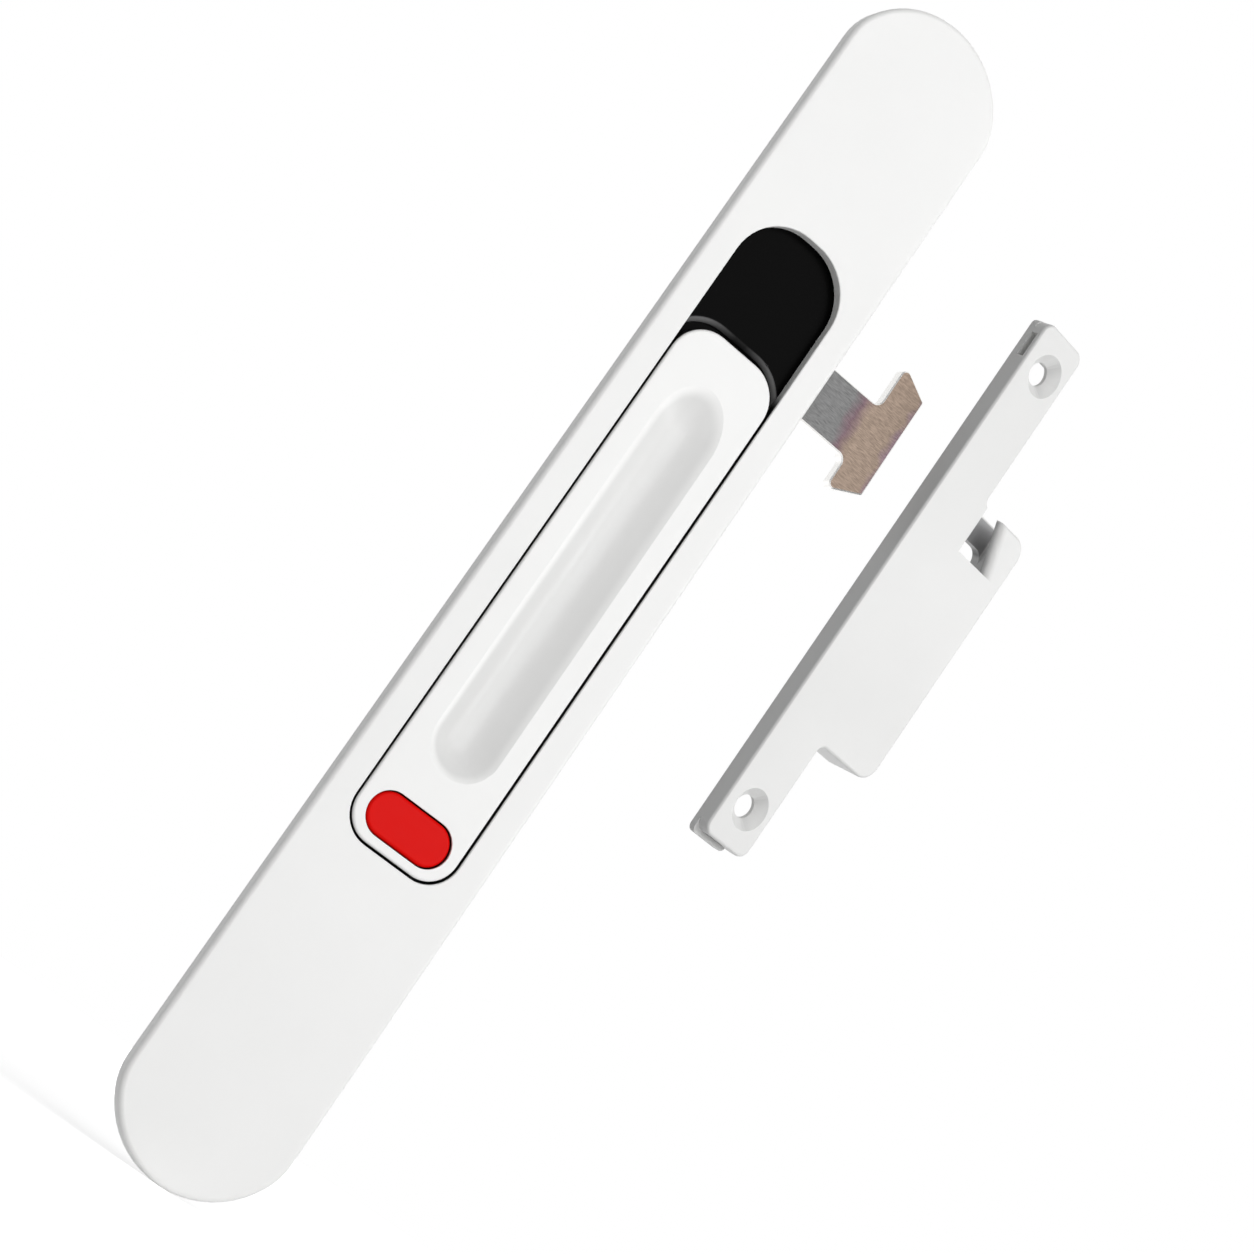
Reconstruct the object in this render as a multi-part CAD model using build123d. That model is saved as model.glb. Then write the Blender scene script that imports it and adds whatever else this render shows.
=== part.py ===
"""Concealed lock for a sliding sash, with its keeper.

Millimetres. X is across the lock, towards the hook. Y runs from the room into the sash, so the
front looks along -Y. Z is up, along the lock. The origin is the centre of the plate's seating rim,
in the plane where it meets the sash. The slider is down, in its locked place.
"""
from build123d import *
from math import atan2, cos, pi, sin, sqrt
import os

# How far a cutting body runs past the surface that it cuts
overcut = 1.0

# How near a corner or an edge lies to the place where it is looked for
corner_tolerance = 0.01
edge_tolerance = 0.001

# A corner radius stays just under half of the shorter side
largest_corner_share = 0.499

# Face plate: its length and width follow from what it covers
plate_thick = 2.4
plate_end_flatness = 0.6
plate_corner_inset = 4.1
plate_edge_round = 0.8
plate_past_lug = 4.5
rim_width = 1.6
rim_depth = 0.6

# Pocket through the plate
pocket_width = 18.2
pocket_bottom = -46.8
pocket_spare = 2.4
pocket_top_radius = 8.2
pocket_bottom_radius = 5.1
pocket_edge_round = 0.2

# Slider
slider_length = 86.4
slider_gap = 0.4
slider_top_radius = 5.6
slider_depth = 5.2
slider_edge_round = 0.4
flange_overlap = 0.8
flange_thick = 1.3
flange_gap = 0.3
flange_top_inset = 12.0
flange_bottom_inset = 8.4
travel = 17.0

# Finger scoop
scoop_below_top = 6.7
scoop_above_button = 8.5
scoop_half_width = 5.7
scoop_top_run = 8.0
scoop_low_depth = 3.0
scoop_high_depth = 2.2
scoop_fullness = 1.7
scoop_edge_step = 0.05
scoop_grid = 0.8
scoop_fit = 0.004

# Red button and what holds it
button_rise = 4.8
button_width = 13.4
button_height = 6.4
button_gap = 0.2
button_recess = 0.2
button_round = 0.5
button_travel = 1.5
button_spare = 0.3
button_floor = 1.2
stem_diameter = 3.6
stem_gap = 0.05
stem_past_floor = 2.2
clip_thick = 0.5
clip_diameter = 4.8
clip_groove = 2.8
clip_gap = 0.1
clip_mouth = 2.0
coil_wire = 0.32
coil_diameter = 4.6
coil_turns = 3.5
coil_seat_depth = 1.2
coil_gap = 0.02

# Carriage behind the slider
carriage_thick = 1.9
carriage_above_pocket = 2.6
carriage_below_slider = 3.6
carriage_corner = 2.0
window_width = 8.0
window_below_stem = 2.2
window_above_stem = 2.0

# Glides in the carriage's edges
glide_length = 7.0
glide_depth = 2.4
glide_side_proud = 0.22
glide_back_proud = 0.12
glide_setback = 5.0
glide_taper = 0.5

# Hook
hook_rise = 5.15
hook_thick = 2.0
hook_past_plate = 17.0
head_thick = 5.5
head_height = 22.3
head_rise = 1.15
head_outer_height = 16.9
neck_height = 9.2
hook_root_left = -7.0
hook_root_right = 8.6
hook_root_height = 15.0
hook_root_corner = 1.0
hook_fillet = 1.3
hook_bevel = 0.2
inner_tip_round = 0.9
outer_tip_round = 0.4
hook_screw_spacing = 7.2
hook_slot_length = 6.0
hook_slot_width = 3.3

# Chassis and back cover
chassis_wall = 1.0
chassis_side_gap = 0.4
chassis_corner = 1.5
chassis_rim_gap = 0.7
chassis_back_inset = 1.8
room_behind_screws = 1.9
end_block = 4.0
rail_width = 1.1
rail_thick = 1.2
rail_gap = 0.2
neck_gap = 0.6
neck_side_gap = 0.4
cover_thick = 1.0
lug_length = 8.0
lug_width = 8.0
lug_thick = 1.6
boss_diameter = 5.6
boss_height = 2.6
rib_thick = 2.0
bumper_thick = 2.9
bumper_gap = 0.1
bumper_width = 12.0
bumper_overhang = 0.4
bumper_corner = 0.5

# Black shields that ride with the slider
shield_thick = 1.1
shield_gap = 0.25
shield_side_gap = 0.15
shield_overlap = 2.2
shield_corner = 3.0
crease_offset = 1.2
crease_depth = 1.0
crease_round = 0.9
foot_width = 3.0
lower_foot_width = 12.0
foot_inset = 0.4

# Springs
leaf_thick = 0.5
leaf_width = 6.0
leaf_run = 9.4
leaf_root_length = 6.0
leaf_gap = 0.15
leaf_flat_below_window = 2.0
leaf_end_gap = 0.4
tooth_width = 4.4
tooth_reach = 0.9
tooth_gap = 0.2
bow_length = 34.0
bow_width = 5.0
bow_thick = 0.4
bow_gap = 0.12
bow_notch = 1.0
bow_notch_length = 2.8
bow_foot = 0.6
bow_side_gap = 0.2

# Fasteners
screw_diameter = 2.4
screw_clearance = 0.3
screw_head_diameter = 4.4
screw_head_height = 1.3
screw_head_round = 0.4
driver_slot_width = 0.6
driver_slot_depth = 0.6
screw_depth = 3.2
screw_tip_gap = 0.3
cover_screw_inset = 2.8
slider_screw_below_top = 5.0
slider_screw_above_button = 6.0
washer_thick = 0.5
washer_diameter = 6.0
bushing_diameter = 6.0
bushing_neck_diameter = 5.0
bushing_length = 5.6
bushing_thread = 3.3
bushing_inset = 7.0
bushing_room = 9.0
rivet_diameter = 2.0
rivet_head_diameter = 3.6
rivet_head_height = 0.7

# Keeper, in its own frame: X across its face, Z along it, front towards -Y
keeper_past_hook = 11.05
keeper_below_hook = 16.3
keeper_y = -0.5
keeper_turn_angle = 18.9
keeper_lean_angle = 4.9
keeper_roll_angle = -1.6
keeper_length = 89.8
keeper_thick = 2.1
keeper_hole_offset = 5.3
keeper_hole_spacing = 76.8
keeper_hole_diameter = 3.6
countersink_diameter = 6.6
tab_width = 9.9
tab_corner = 1.8
ear_width = 12.2
ear_depth = 7.0
ear_top = 18.4
ear_bottom = -24.6
ear_wall = 1.5
ear_corner = 2.8
ear_inner_corner = 1.1
throat_bottom = 10.5
throat_width = 7.6
throat_narrowing = 3.6
lip_round = 1.4
lip_steps = 4
catch_depth = 6.0
core_gap = 2.5
back_bar = 4.2
window_corner = 1.9
packer_thick = 1.1
packer_width = 7.4
packer_setback = 0.2
packer_past_tab = 0.8
packer_corner = 1.0
pry_length = 4.0
pry_depth = 1.3
pry_reach = 1.2
keeper_round = 0.45

# Depths worked out from the sizes above, from front to back
front = -plate_thick
recess = -rim_depth
slider_back = front + slider_depth
flange_front = recess + flange_gap
carriage_front = slider_back
carriage_back = carriage_front + carriage_thick
rail_front = carriage_back + rail_gap
rail_back = rail_front + rail_thick
hook_front = carriage_back
hook_back = hook_front + hook_thick
chassis_depth = hook_back + washer_thick + screw_head_height + room_behind_screws
cover_back = chassis_depth + cover_thick
button_front = front + button_recess
button_floor_front = slider_back - button_floor
button_back = button_floor_front - button_travel - button_spare
clip_front = slider_back + clip_gap
stem_end = slider_back + stem_past_floor
pad_front = stem_end + leaf_gap
shield_front = recess + shield_gap
boss_back = recess + boss_height
lug_back = boss_back + lug_thick

# Half widths, from the middle outwards
pocket_half = pocket_width / 2
slider_half = pocket_half - slider_gap
flange_half = pocket_half + flange_overlap
chassis_inner = flange_half + flange_gap
carriage_half = chassis_inner - chassis_side_gap
chassis_outer = chassis_inner + chassis_wall
back_outer = chassis_outer - chassis_back_inset
plate_half = chassis_outer + chassis_rim_gap + rim_width
shield_half = carriage_half - foot_inset / 2
head_outer = plate_half + hook_past_plate
head_inner = head_outer - head_thick

# Heights, from the slider's lower end
slider_bottom = pocket_bottom + slider_gap
slider_top = slider_bottom + slider_length
pocket_top = slider_top + travel + pocket_spare
button_z = slider_bottom + button_rise
scoop_bottom = button_z + scoop_above_button
scoop_top = slider_top - scoop_below_top
carriage_bottom = slider_bottom - carriage_below_slider
carriage_top = pocket_top + carriage_above_pocket
slider_screw_places = (slider_top - slider_screw_below_top, button_z + slider_screw_above_button)
hook_z = slider_top + hook_rise
hook_screw_places = (hook_z - hook_screw_spacing / 2, hook_z + hook_screw_spacing / 2)
window_low = button_z - stem_diameter / 2 - window_below_stem
window_high = button_z + stem_diameter / 2 + window_above_stem
upper_stop = carriage_top + travel + bumper_gap
lower_stop = carriage_bottom - bumper_gap
leaf_root_top = window_low - leaf_run
leaf_root_bottom = leaf_root_top - leaf_root_length
rivet_z = (leaf_root_top + leaf_root_bottom) / 2
bow_z = (slider_top + slider_bottom) / 2
bow_ends = (bow_z - bow_length / 2, bow_z + bow_length / 2)
chassis_top = upper_stop + bumper_thick + end_block
chassis_bottom = leaf_root_bottom - bushing_room - end_block
lug_places = (chassis_top + lug_length / 2, chassis_bottom - lug_length / 2)
bushing_places = (chassis_top - bushing_inset, chassis_bottom + bushing_inset)
plate_tip = chassis_top + lug_length + plate_past_lug
cover_screw_places = [
    (x, z) for z in (chassis_top - end_block / 2, chassis_bottom + end_block / 2)
    for x in (cover_screw_inset - back_outer, back_outer - cover_screw_inset)]
glide_places = {
    "glide_upper_left": (-carriage_half, carriage_top - glide_setback),
    "glide_upper_right": (carriage_half, carriage_top - glide_setback),
    "glide_lower_left": (-carriage_half, carriage_bottom + 2 * glide_setback),
    "glide_lower_right": (carriage_half, carriage_bottom + 2 * glide_setback),
}

# Keeper's own places
tab_left = -keeper_hole_offset
tab_right = tab_left + tab_width
ear_right = tab_right + ear_width
ear_inner_left = tab_right + ear_wall / 2
ear_inner_right = ear_right - ear_wall
keeper_half = keeper_length / 2
pocket_floor = throat_bottom - catch_depth
keeper_hole_places = (-keeper_hole_spacing / 2, keeper_hole_spacing / 2)
lip_turns = [pi / 2 * step / lip_steps for step in range(lip_steps + 1)]


def plane_at(y):
    """Drawing plane at depth y: its own x is X and its own y is Z."""
    return Plane(origin=(0, y, 0), x_dir=(1, 0, 0), z_dir=(0, -1, 0))


def slab(sketch, y_front, y_back):
    """A sketch drawn in X and Z, thick from y_front to y_back."""
    return extrude(plane_at(y_back) * sketch, amount=y_back - y_front)


def block(x_low, x_high, y_low, y_high, z_low, z_high):
    size = (x_high - x_low, y_high - y_low, z_high - z_low)
    centre = ((x_low + x_high) / 2, (y_low + y_high) / 2, (z_low + z_high) / 2)
    return Pos(*centre) * Box(*size)


def disc(x, z, diameter, y_front, y_back):
    """A round bar along Y."""
    return slab(Pos(x, z) * Circle(diameter / 2), y_front, y_back)


def cone(x, z, front_diameter, back_diameter, y_front, y_back):
    """A round taper along Y."""
    ends = [
        plane_at(y_front) * Pos(x, z) * Circle(front_diameter / 2),
        plane_at(y_back) * Pos(x, z) * Circle(back_diameter / 2),
    ]
    return loft(ends)


def panel(x_low, x_high, z_low, z_high, low_radius, high_radius=None):
    """A rectangle in X and Z with its own corner radius at each end."""
    most = largest_corner_share * min(x_high - x_low, z_high - z_low)
    shape = Pos((x_low + x_high) / 2, (z_low + z_high) / 2) * Rectangle(x_high - x_low, z_high - z_low)
    shape = fillet(shape.vertices().sort_by(Axis.Y)[:2], min(low_radius, most))
    if high_radius is None:
        high_radius = low_radius
    return fillet(shape.vertices().sort_by(Axis.Y)[-2:], min(high_radius, most))


def edges_at(solid, y):
    """The edges that lie wholly at depth y."""
    return solid.edges().filter_by_position(Axis.Y, y - edge_tolerance, y + edge_tolerance)


def corners_near(sketch, x_values, z_values):
    """The corners of a flat sketch at any of these places."""
    return sketch.vertices().filter_by(
        lambda v: min(abs(v.X - x) for x in x_values) < corner_tolerance
        and min(abs(v.Y - z) for z in z_values) < corner_tolerance)


def plate_outline(inset):
    """Straight sides, a corner arc and a flatter arc over each end, drawn inset from the edge."""
    half = plate_half - inset
    tip = plate_tip - inset
    end_radius = half + plate_end_flatness
    corner_radius = half - plate_corner_inset
    corner_x = plate_corner_inset
    centre_gap = end_radius - corner_radius
    rise = sqrt(centre_gap ** 2 - corner_x ** 2)
    corner_z = tip - end_radius + rise
    meet_x = corner_x * end_radius / centre_gap
    meet_z = tip - end_radius + rise * end_radius / centre_gap
    half_turn = atan2(meet_z - corner_z, meet_x - corner_x) / 2
    mid_x = corner_x + corner_radius * cos(half_turn)
    mid_z = corner_z + corner_radius * sin(half_turn)
    curves = [
        Line((half, -corner_z), (half, corner_z)),
        ThreePointArc((half, corner_z), (mid_x, mid_z), (meet_x, meet_z)),
        ThreePointArc((meet_x, meet_z), (0, tip), (-meet_x, meet_z)),
        ThreePointArc((-meet_x, meet_z), (-mid_x, mid_z), (-half, corner_z)),
        Line((-half, corner_z), (-half, -corner_z)),
        ThreePointArc((-half, -corner_z), (-mid_x, -mid_z), (-meet_x, -meet_z)),
        ThreePointArc((-meet_x, -meet_z), (0, -tip), (meet_x, -meet_z)),
        ThreePointArc((meet_x, -meet_z), (mid_x, -mid_z), (half, -corner_z)),
    ]
    return make_face(Wire(curves))


def pan_screw(x, z, seat_y, tip_y):
    """A pan-head screw whose head stands behind seat_y and whose shank runs forward to tip_y."""
    top = seat_y + screw_head_height
    head = disc(x, z, screw_head_diameter, seat_y, top)
    head = fillet(edges_at(head, top), screw_head_round)
    slot = block(x - screw_head_diameter, x + screw_head_diameter, top - driver_slot_depth, top + overcut,
                 z - driver_slot_width / 2, z + driver_slot_width / 2)
    return head + disc(x, z, screw_diameter, tip_y, seat_y) - slot


def make_face_plate():
    plate = slab(plate_outline(0), front, 0)
    plate = fillet(edges_at(plate, front), plate_edge_round)
    plate -= slab(plate_outline(rim_width), recess, overcut)
    for z in lug_places:
        plate += disc(0, z, boss_diameter, recess, boss_back)
    pocket = panel(-pocket_half, pocket_half, pocket_bottom, pocket_top, pocket_bottom_radius,
                   pocket_top_radius)
    plate -= slab(pocket, front - overcut, overcut)
    rim = edges_at(plate, front).filter_by(
        lambda edge: abs(edge.center().X) < pocket_half + corner_tolerance
        and pocket_bottom - corner_tolerance < edge.center().Z < pocket_top + corner_tolerance)
    plate = fillet(rim, pocket_edge_round)
    for z in lug_places:
        plate -= disc(0, z, screw_diameter, boss_back - screw_depth, boss_back + overcut)
    return plate


def scoop_depth_at(x, z):
    """Depth of the scoop: a trough of even width with a round lower end and a longer, oval upper end."""
    low = scoop_bottom + scoop_half_width
    high = scoop_top - scoop_top_run
    past_low = max(low - z, 0) / scoop_half_width
    past_high = max(z - high, 0) / scoop_top_run
    share = min(max((z - low) / (high - low), 0), 1)
    deepest = scoop_low_depth + share * (scoop_high_depth - scoop_low_depth)
    bowl = max(1 - (x / scoop_half_width) ** 2 - past_low ** 2 - past_high ** 2, 0)
    return deepest * bowl ** scoop_fullness - scoop_edge_step


def scoop_cutter():
    """Everything in front of the scoop's surface."""
    half = scoop_half_width + scoop_grid
    start = scoop_bottom - scoop_grid
    length = scoop_top - scoop_bottom + 2 * scoop_grid
    across = round(2 * half / scoop_grid)
    along = round(length / scoop_grid)
    points = []
    for i in range(across + 1):
        x = -half + 2 * half * i / across
        places = [start + length * j / along for j in range(along + 1)]
        points.append([Vector(x, front + scoop_depth_at(x, z), z) for z in places])
    surface = Face.make_surface_from_array_of_points(points, tol=scoop_fit)
    return extrude(surface, amount=scoop_low_depth + overcut, dir=(0, -1, 0))


def slider_outline(grow):
    half = slider_half + grow
    return panel(-half, half, slider_bottom - grow, slider_top + grow,
                 pocket_bottom_radius - slider_gap + grow, slider_top_radius + grow)


def make_slider():
    body = slab(slider_outline(0), front, slider_back)
    body = fillet(edges_at(body, front), slider_edge_round)
    body += block(-flange_half, flange_half, flange_front, flange_front + flange_thick,
                  slider_bottom + flange_bottom_inset, slider_top - flange_top_inset)
    body -= scoop_cutter()
    well = Pos(0, button_z) * SlotOverall(button_width + 2 * button_gap, button_height + 2 * button_gap)
    body -= slab(well, front - overcut, button_floor_front)
    body -= disc(0, button_z, stem_diameter + 2 * stem_gap, front, slider_back + overcut)
    for z in slider_screw_places:
        body -= disc(0, z, screw_diameter, slider_back - screw_depth, slider_back + overcut)
    return body


def make_button():
    head = slab(Pos(0, button_z) * SlotOverall(button_width, button_height), button_front, button_back)
    head = fillet(edges_at(head, button_front), button_round)
    coil_room = coil_diameter + coil_wire + screw_clearance
    head -= disc(0, button_z, coil_room, button_back - coil_seat_depth, button_back + overcut)
    stem = disc(0, button_z, stem_diameter, button_front + button_round, stem_end)
    groove = disc(0, button_z, stem_diameter + overcut, clip_front, clip_front + clip_thick)
    groove -= disc(0, button_z, clip_groove, clip_front - overcut, clip_front + clip_thick + overcut)
    return head + stem - groove


def make_button_clip():
    clip_back = clip_front + clip_thick
    ring = disc(0, button_z, clip_diameter, clip_front, clip_back)
    ring -= disc(0, button_z, clip_groove, clip_front - overcut, clip_back + overcut)
    return ring - block(-clip_mouth / 2, clip_mouth / 2, clip_front - overcut, clip_back + overcut,
                        button_z, button_z + clip_diameter)


def make_button_spring():
    start = button_back - coil_seat_depth + coil_wire / 2 + coil_gap
    height = button_floor_front - coil_wire / 2 - coil_gap - start
    path = Helix(pitch=height / coil_turns, height=height, radius=coil_diameter / 2,
                 center=(0, start, button_z), direction=(0, 1, 0))
    section = Plane(origin=path @ 0, z_dir=path % 0) * Circle(coil_wire / 2)
    return sweep(section, path=path)


def make_carriage():
    plate = slab(panel(-carriage_half, carriage_half, carriage_bottom, carriage_top, carriage_corner),
                 carriage_front, carriage_back)
    plate -= block(-window_width / 2, window_width / 2, carriage_front - overcut, carriage_back + overcut,
                   window_low, window_high)
    for z in slider_screw_places:
        plate -= disc(0, z, screw_diameter + screw_clearance, carriage_front - overcut,
                      carriage_back + overcut)
    for z in hook_screw_places:
        plate -= disc(0, z, screw_diameter, carriage_front - overcut, carriage_back + overcut)
    for x, z in glide_places.values():
        plate -= slab(glide_outline(x, z), carriage_front - overcut, carriage_back + overcut)
    half = bow_width / 2 + bow_side_gap
    for z in bow_ends:
        plate -= block(-half, half, carriage_back - bow_notch, carriage_back + overcut,
                       z - bow_notch_length / 2, z + bow_notch_length / 2)
    return plate


def glide_outline(x, z):
    """Wider inside the carriage than at its edge, so that the pad can't fall out sideways."""
    side = 1 if x > 0 else -1
    inner = x - side * glide_depth
    outer = x + side * glide_side_proud
    half = glide_length / 2
    neck = half - glide_taper
    return make_face(Polyline((inner, z - half), (outer, z - neck), (outer, z + neck), (inner, z + half),
                              close=True))


def make_glide(x, z):
    return slab(glide_outline(x, z), carriage_front, carriage_back + glide_back_proud)


def hook_outline():
    """T-shaped plate: a root with adjusting slots, a neck, and a head that reaches both ways."""
    half_root = hook_root_height / 2
    root = panel(hook_root_left, hook_root_right, hook_z - half_root, hook_z + half_root, hook_root_corner)
    half_neck = neck_height / 2
    neck_left = hook_root_right - 2 * hook_root_corner
    neck_right = head_inner + inner_tip_round
    neck = Pos((neck_left + neck_right) / 2, hook_z) * Rectangle(neck_right - neck_left, neck_height)
    half = head_height / 2
    outer_half = head_outer_height / 2
    head = make_face(Polyline((head_inner, -half), (head_outer, -outer_half),
                              (head_outer, outer_half), (head_inner, half), close=True))
    head = fillet(corners_near(head, [head_inner], [-half, half]), inner_tip_round)
    head = fillet(corners_near(head, [head_outer], [-outer_half, outer_half]), outer_tip_round)
    head = Pos(0, hook_z + head_rise) * head
    shape = root + neck + head
    shape = fillet(corners_near(shape, [head_inner], [hook_z - half_neck, hook_z + half_neck]), hook_fillet)
    for z in hook_screw_places:
        shape -= Pos(0, z) * SlotOverall(hook_slot_length, hook_slot_width)
    return shape


def make_hook():
    plate = slab(hook_outline(), hook_front, hook_back)
    rim = edges_at(plate, hook_front).filter_by(lambda edge: edge.center().X > hook_root_right)
    return chamfer(rim, hook_bevel)


def make_hook_washers():
    seats = []
    washer_back = hook_back + washer_thick
    for z in hook_screw_places:
        ring = disc(0, z, washer_diameter, hook_back, washer_back)
        bore = disc(0, z, screw_diameter + screw_clearance, hook_back - overcut, washer_back + overcut)
        seats.append(ring - bore)
    return Compound(seats)


def make_upper_shield():
    """Flat black tongue with a sunken band beside the slider's top end, under a well rounded crease."""
    low = slider_top - slider_top_radius
    high = pocket_top + shield_overlap
    tongue_back = shield_front + crease_depth + shield_thick
    outline = panel(-shield_half, shield_half, low, high, foot_inset, shield_corner)
    shield = slab(outline, shield_front, tongue_back)
    shield -= slab(slider_outline(crease_offset), shield_front - overcut, shield_front + crease_depth)
    crease = edges_at(shield, shield_front).filter_by(
        lambda edge: abs(edge.center().X) < shield_half - corner_tolerance
        and low + corner_tolerance < edge.center().Z < high - shield_corner)
    shield = fillet(crease, crease_round)
    for side in (-1, 1):
        x = side * (shield_half - foot_width)
        shield += block(x - foot_width / 2, x + foot_width / 2, tongue_back - foot_inset, carriage_front,
                        slider_top + foot_width / 2, slider_top + 1.5 * foot_width)
    return shield - slab(slider_outline(shield_side_gap), front - overcut, slider_back + overcut)


def make_lower_shield():
    high = slider_bottom - shield_side_gap
    low = pocket_bottom - travel - shield_overlap
    strip = slab(panel(-shield_half, shield_half, low, high, shield_corner, foot_inset),
                 shield_front, shield_front + shield_thick)
    return strip + block(-lower_foot_width / 2, lower_foot_width / 2, shield_front + foot_inset,
                         carriage_front, carriage_bottom + foot_inset, high - foot_inset)


def lug(z, inward_z):
    """Rounded ear of the chassis that sits on one of the plate's bosses."""
    half = lug_width / 2
    ear = slab(Pos(0, z) * Circle(half), boss_back, lug_back)
    return ear + block(-half, half, boss_back, lug_back, min(z, inward_z), max(z, inward_z))


def cross_bar(half_width, z_low, z_high):
    """A bar across the chassis at the carriage's depth, which the carriage's end meets."""
    return block(-half_width, half_width, carriage_front - bumper_overhang, carriage_back + bumper_overhang,
                 z_low, z_high)


def narrowing(half_width, y_front, y_back, z_low, z_high):
    """A long body whose sides are straight as far back as the rails and lean inwards behind them."""
    lean = chassis_back_inset / (chassis_depth - rail_back)
    back_half = half_width - lean * (y_back - rail_back)
    outline = Plane.XY * make_face(Polyline(
        (-half_width, y_front), (half_width, y_front), (half_width, rail_back),
        (back_half, y_back), (-back_half, y_back), (-half_width, rail_back), close=True))
    return Pos(0, 0, z_low) * extrude(outline, amount=z_high - z_low)


def make_chassis():
    shell = narrowing(chassis_outer, recess, chassis_depth, chassis_bottom, chassis_top)
    ends = panel(-chassis_outer, chassis_outer, chassis_bottom, chassis_top, chassis_corner)
    shell &= slab(ends, recess, chassis_depth)
    shell -= narrowing(chassis_inner, recess - overcut, chassis_depth + overcut,
                       chassis_bottom + end_block, chassis_top - end_block)
    rail_inner = chassis_inner - rail_width
    for left, right in ((-chassis_inner, -rail_inner), (rail_inner, chassis_inner)):
        shell += block(left, right, rail_front, rail_back, carriage_bottom, chassis_top - end_block)
    rib_top = lower_stop - bumper_thick
    shell += cross_bar(chassis_inner, rib_top - rib_thick, rib_top)
    shell += lug(lug_places[0], chassis_top - end_block / 2)
    shell += lug(lug_places[1], chassis_bottom + end_block / 2)
    for z in lug_places:
        shell -= disc(0, z, screw_diameter + screw_clearance, boss_back - overcut, lug_back + overcut)
    half_neck = neck_height / 2 + neck_gap
    shell -= block(rail_inner - overcut, chassis_outer + overcut, hook_front - neck_side_gap,
                   hook_back + neck_side_gap, hook_z - half_neck, hook_z + half_neck + travel)
    for x, z in cover_screw_places:
        shell -= disc(x, z, screw_diameter, chassis_depth - screw_depth, chassis_depth + overcut)
    return shell


def make_back_cover():
    cover = block(-back_outer, back_outer, chassis_depth, cover_back, chassis_bottom, chassis_top)
    cover = fillet(cover.edges().filter_by(Axis.Y), chassis_corner)
    for x, z in cover_screw_places:
        cover -= disc(x, z, screw_diameter + screw_clearance, chassis_depth - overcut, cover_back + overcut)
    for z in bushing_places:
        cover -= disc(0, z, bushing_neck_diameter, chassis_depth - overcut, cover_back + overcut)
    return cover - disc(0, rivet_z, rivet_diameter, chassis_depth - overcut, cover_back + overcut)


def make_mount_bushings():
    """Threaded bushings: a wide body inside the cover, and a neck pressed through it."""
    parts = []
    for z in bushing_places:
        body = disc(0, z, bushing_diameter, cover_back - bushing_length, chassis_depth)
        body += disc(0, z, bushing_neck_diameter, chassis_depth - cover_thick, cover_back)
        parts.append(body - disc(0, z, bushing_thread, front, cover_back + overcut))
    return Compound(parts)


def make_catch_spring():
    """Leaf: flat root on the cover, a slope up to the stem, a pad, and a tooth behind the window's edge."""
    slope_end = window_low - leaf_flat_below_window
    pad_end = window_high - leaf_end_gap
    pad_back = pad_front + leaf_thick
    root_front = chassis_depth - leaf_thick
    profile = Plane.YZ * make_face(Polyline(
        (chassis_depth, leaf_root_bottom), (chassis_depth, leaf_root_top), (pad_back, slope_end),
        (pad_back, pad_end), (pad_front, pad_end), (pad_front, slope_end),
        (root_front, leaf_root_top), (root_front, leaf_root_bottom), close=True))
    leaf = Pos(-leaf_width / 2, 0, 0) * extrude(profile, amount=leaf_width)
    tip = carriage_back - tooth_reach
    tooth_low = window_low + tooth_gap
    tooth_high = tooth_low + leaf_thick
    pad_middle = (pad_front + pad_back) / 2
    hooked = Plane.YZ * make_face(Polyline(
        (pad_middle, tooth_low), (tip, tooth_low), (tip, tooth_high),
        (pad_middle, tooth_high + pad_middle - tip), close=True))
    tooth = Pos(-tooth_width / 2, 0, 0) * extrude(hooked, amount=tooth_width)
    return leaf + tooth - disc(0, rivet_z, rivet_diameter, root_front - overcut, chassis_depth + overcut)


def make_catch_rivet():
    head_back = chassis_depth - leaf_thick
    shank = disc(0, rivet_z, rivet_diameter, head_back, cover_back)
    head = disc(0, rivet_z, rivet_head_diameter, head_back - rivet_head_height, head_back)
    tail = disc(0, rivet_z, rivet_head_diameter, cover_back, cover_back + rivet_head_height / 2)
    return shank + head + tail


def make_drag_spring():
    """Bow spring: its ends lie in notches in the carriage and its crest runs on the back cover."""
    low, high = bow_ends
    foot = carriage_back - bow_foot
    crest = chassis_depth - bow_gap
    outer = ThreePointArc((foot + bow_thick, low), (crest, bow_z), (foot + bow_thick, high))
    inner = ThreePointArc((foot, low), (crest - bow_thick, bow_z), (foot, high))
    ends = [Line(inner @ 0, outer @ 0), Line(inner @ 1, outer @ 1)]
    profile = Plane.YZ * make_face(Wire([outer, inner] + ends))
    return Pos(-bow_width / 2, 0, 0) * extrude(profile, amount=bow_width)


def make_bumper(z_low, z_high):
    pad = cross_bar(bumper_width / 2, z_low, z_high)
    return fillet(pad.edges().filter_by(Axis.Y), bumper_corner)


def throat(widening):
    """Outline of the throat, open at its top, with its right side moved outwards by widening."""
    right = ear_inner_left + throat_width + widening
    top = ear_top + overcut
    return make_face(Polyline(
        (ear_inner_left, throat_bottom), (right, throat_bottom), (right - throat_narrowing, top),
        (ear_inner_left, top), close=True))


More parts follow.
